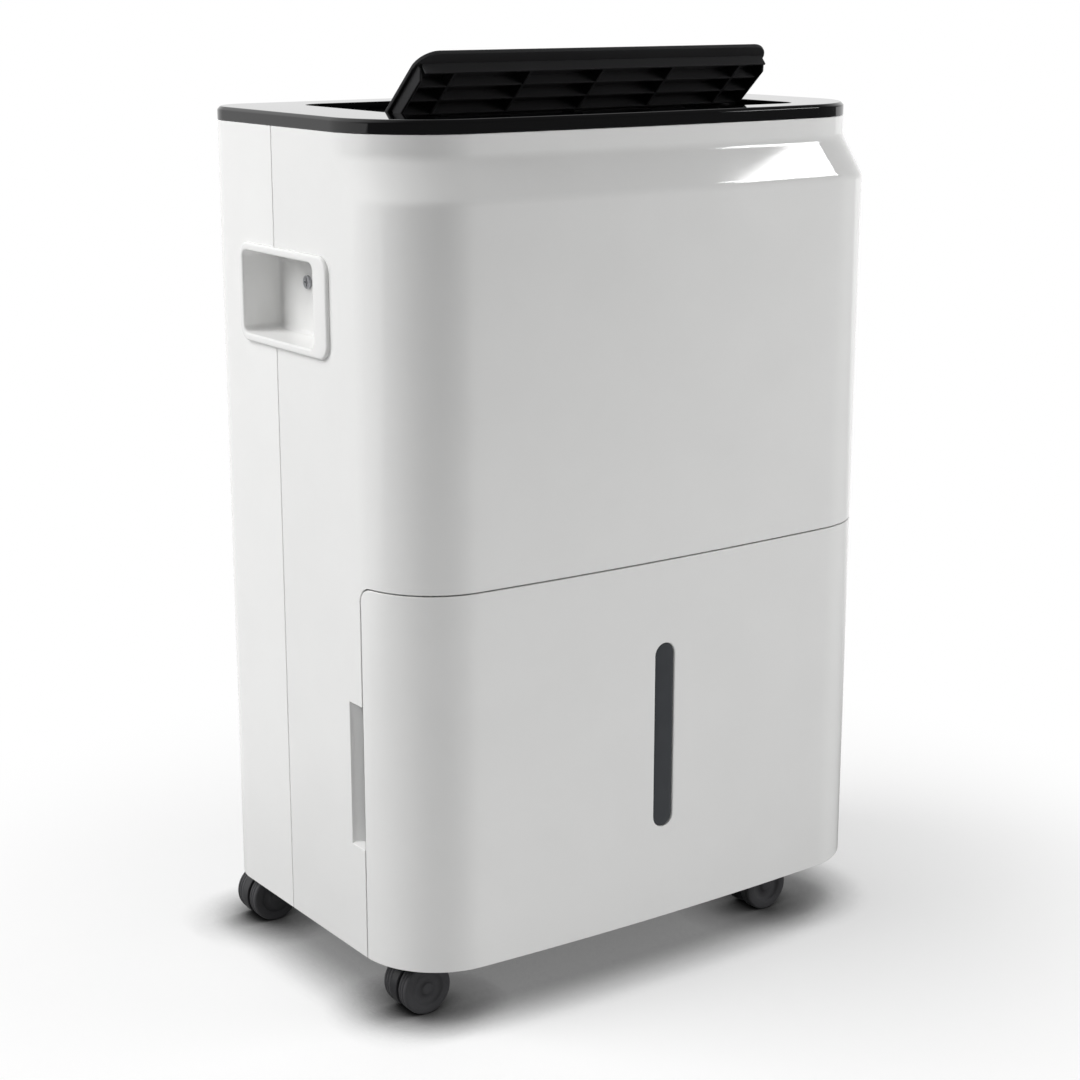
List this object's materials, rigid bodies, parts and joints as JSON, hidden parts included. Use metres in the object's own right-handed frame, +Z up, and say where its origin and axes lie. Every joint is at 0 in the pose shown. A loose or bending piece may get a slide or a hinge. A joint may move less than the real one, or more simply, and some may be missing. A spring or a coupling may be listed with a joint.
{
  "type": "dehumidifier",
  "caption": "Upright household dehumidifier on castors: rounded casing with side hand grips, pull-out water tank with level window, and a hinged louver flap on top.",
  "frame": {"origin": "on the floor, under the middle of the object's bounding box", "axes": "+Z up, the tank front faces -Y, +X to the right seen from the front"},
  "size_m": [0.385, 0.244, 0.5905],
  "materials": {
    "white_casing": "satin white",
    "black_gloss": "polished black",
    "display_lens": "smoked lens",
    "level_lens": "smoked lens",
    "black_plastic": "fine grain",
    "steel": "zinc plated",
    "grey_plastic": "moulded",
    "bucket_plastic": "translucent",
    "float_foam": "closed cell foam",
    "coil_aluminium": "mill",
    "copper": "drawn copper",
    "black_paint": "black enamel",
    "rubber": "moulded",
    "board": "solder mask",
    "filter_cloth": "woven mesh",
    "button_plastic": "satin",
    "castor_plastic": "moulded",
    "castor_tread": "moulded nylon"
  },
  "bodies": {
    "casing": {"front_shell": "white_casing", "rear_shell": "white_casing", "hand_grip_right": "white_casing", "hand_grip_left": "white_casing", "top_panel": "black_gloss", "display_window": "display_lens", "outlet_grille": "black_plastic", "base_pan": "black_plastic", "rear_screws": "steel", "grip_screw_right": "steel", "grip_screw_left": "steel", "bulkhead": "grey_plastic", "drip_deck": "grey_plastic", "fan_scroll": "grey_plastic", "tank_switch": "black_plastic", "evaporator": "coil_aluminium", "condenser": "coil_aluminium", "refrigerant_pipes": "copper", "compressor": "black_paint", "compressor_mounts": "rubber", "fan_motor": "black_paint", "control_board": "board", "drain_spout": "grey_plastic", "cord_gland": "rubber"},
    "flap": {"louver_flap": "black_plastic", "louver_vanes": "black_plastic", "flap_shaft": "steel"},
    "tank": {"tank_front": "white_casing", "level_window": "level_lens", "tank_bucket": "bucket_plastic", "float_bracket": "grey_plastic"},
    "float": {"tank_float": "float_foam"},
    "fan": {"fan_impeller": "grey_plastic"},
    "filter": {"filter_frame": "white_casing", "filter_mesh": "filter_cloth"},
    "plug": {"drain_plug": "rubber"},
    "button_1": {"push_button_1": "button_plastic"},
    "button_2": {"push_button_2": "button_plastic"},
    "button_3": {"push_button_3": "button_plastic"},
    "button_4": {"push_button_4": "button_plastic"},
    "button_5": {"push_button_5": "button_plastic"},
    "castor_front_left": {"castor_fork_front_left": "castor_plastic"},
    "wheels_front_left": {"castor_wheels_front_left": "castor_tread"},
    "castor_rear_left": {"castor_fork_rear_left": "castor_plastic"},
    "wheels_rear_left": {"castor_wheels_rear_left": "castor_tread"},
    "castor_front_right": {"castor_fork_front_right": "castor_plastic"},
    "wheels_front_right": {"castor_wheels_front_right": "castor_tread"},
    "castor_rear_right": {"castor_fork_rear_right": "castor_plastic"},
    "wheels_rear_right": {"castor_wheels_rear_right": "castor_tread"}
  },
  "joints": [
    {"name": "flap_hinge", "type": "hinge", "parent": "casing", "child": "flap", "pos_m": [0, -0.0125, 0.5495], "axis": [1, 0, 0], "range_deg": [-18, 41.5]},
    {"name": "tank_slide", "type": "slide", "parent": "casing", "child": "tank", "axis": [0, -1, 0], "range_m": [0, 0.15]},
    {"name": "float_pivot", "type": "hinge", "parent": "tank", "child": "float", "pos_m": [-0.099, -0.0125, 0.246], "axis": [-1, 0, 0], "range_deg": [0, 20]},
    {"name": "fan_spin", "type": "hinge", "parent": "casing", "child": "fan", "pos_m": [0, -0.0425, 0.402], "axis": [0, 1, 0], "continuous": true},
    {"name": "filter_pull", "type": "slide", "parent": "casing", "child": "filter", "axis": [0, 1, 0], "range_m": [0, 0.06]},
    {"name": "plug_pull", "type": "slide", "parent": "casing", "child": "plug", "axis": [0, 1, 0], "range_m": [0, 0.03]},
    {"name": "button_1_press", "type": "slide", "parent": "casing", "child": "button_1", "axis": [0, 0, -1], "range_m": [0, 0.0012], "stiffness_N_per_m": 400, "springref_m": -0.001},
    {"name": "button_2_press", "type": "slide", "parent": "casing", "child": "button_2", "axis": [0, 0, -1], "range_m": [0, 0.0012], "stiffness_N_per_m": 400, "springref_m": -0.001},
    {"name": "button_3_press", "type": "slide", "parent": "casing", "child": "button_3", "axis": [0, 0, -1], "range_m": [0, 0.0012], "stiffness_N_per_m": 400, "springref_m": -0.001},
    {"name": "button_4_press", "type": "slide", "parent": "casing", "child": "button_4", "axis": [0, 0, -1], "range_m": [0, 0.0012], "stiffness_N_per_m": 400, "springref_m": -0.001},
    {"name": "button_5_press", "type": "slide", "parent": "casing", "child": "button_5", "axis": [0, 0, -1], "range_m": [0, 0.0012], "stiffness_N_per_m": 400, "springref_m": -0.001},
    {"name": "castor_front_left_swivel", "type": "hinge", "parent": "casing", "child": "castor_front_left", "pos_m": [-0.14, -0.078, 0.036], "axis": [0, 0, 1], "continuous": true},
    {"name": "wheels_front_left_roll", "type": "hinge", "parent": "castor_front_left", "child": "wheels_front_left", "pos_m": [-0.1615, -0.078, 0.017], "axis": [0, 1, 0], "continuous": true},
    {"name": "castor_rear_left_swivel", "type": "hinge", "parent": "casing", "child": "castor_rear_left", "pos_m": [-0.1485, 0.103, 0.036], "axis": [0, 0, 1], "continuous": true},
    {"name": "wheels_rear_left_roll", "type": "hinge", "parent": "castor_rear_left", "child": "wheels_rear_left", "pos_m": [-0.17, 0.103, 0.017], "axis": [0, 1, 0], "continuous": true},
    {"name": "castor_front_right_swivel", "type": "hinge", "parent": "casing", "child": "castor_front_right", "pos_m": [0.14, -0.078, 0.036], "axis": [0, 0, 1], "continuous": true},
    {"name": "wheels_front_right_roll", "type": "hinge", "parent": "castor_front_right", "child": "wheels_front_right", "pos_m": [0.1185, -0.078, 0.017], "axis": [0, 1, 0], "continuous": true},
    {"name": "castor_rear_right_swivel", "type": "hinge", "parent": "casing", "child": "castor_rear_right", "pos_m": [0.1485, 0.103, 0.036], "axis": [0, 0, 1], "continuous": true},
    {"name": "wheels_rear_right_roll", "type": "hinge", "parent": "castor_rear_right", "child": "wheels_rear_right", "pos_m": [0.127, 0.103, 0.017], "axis": [0, 1, 0], "continuous": true}
  ]
}
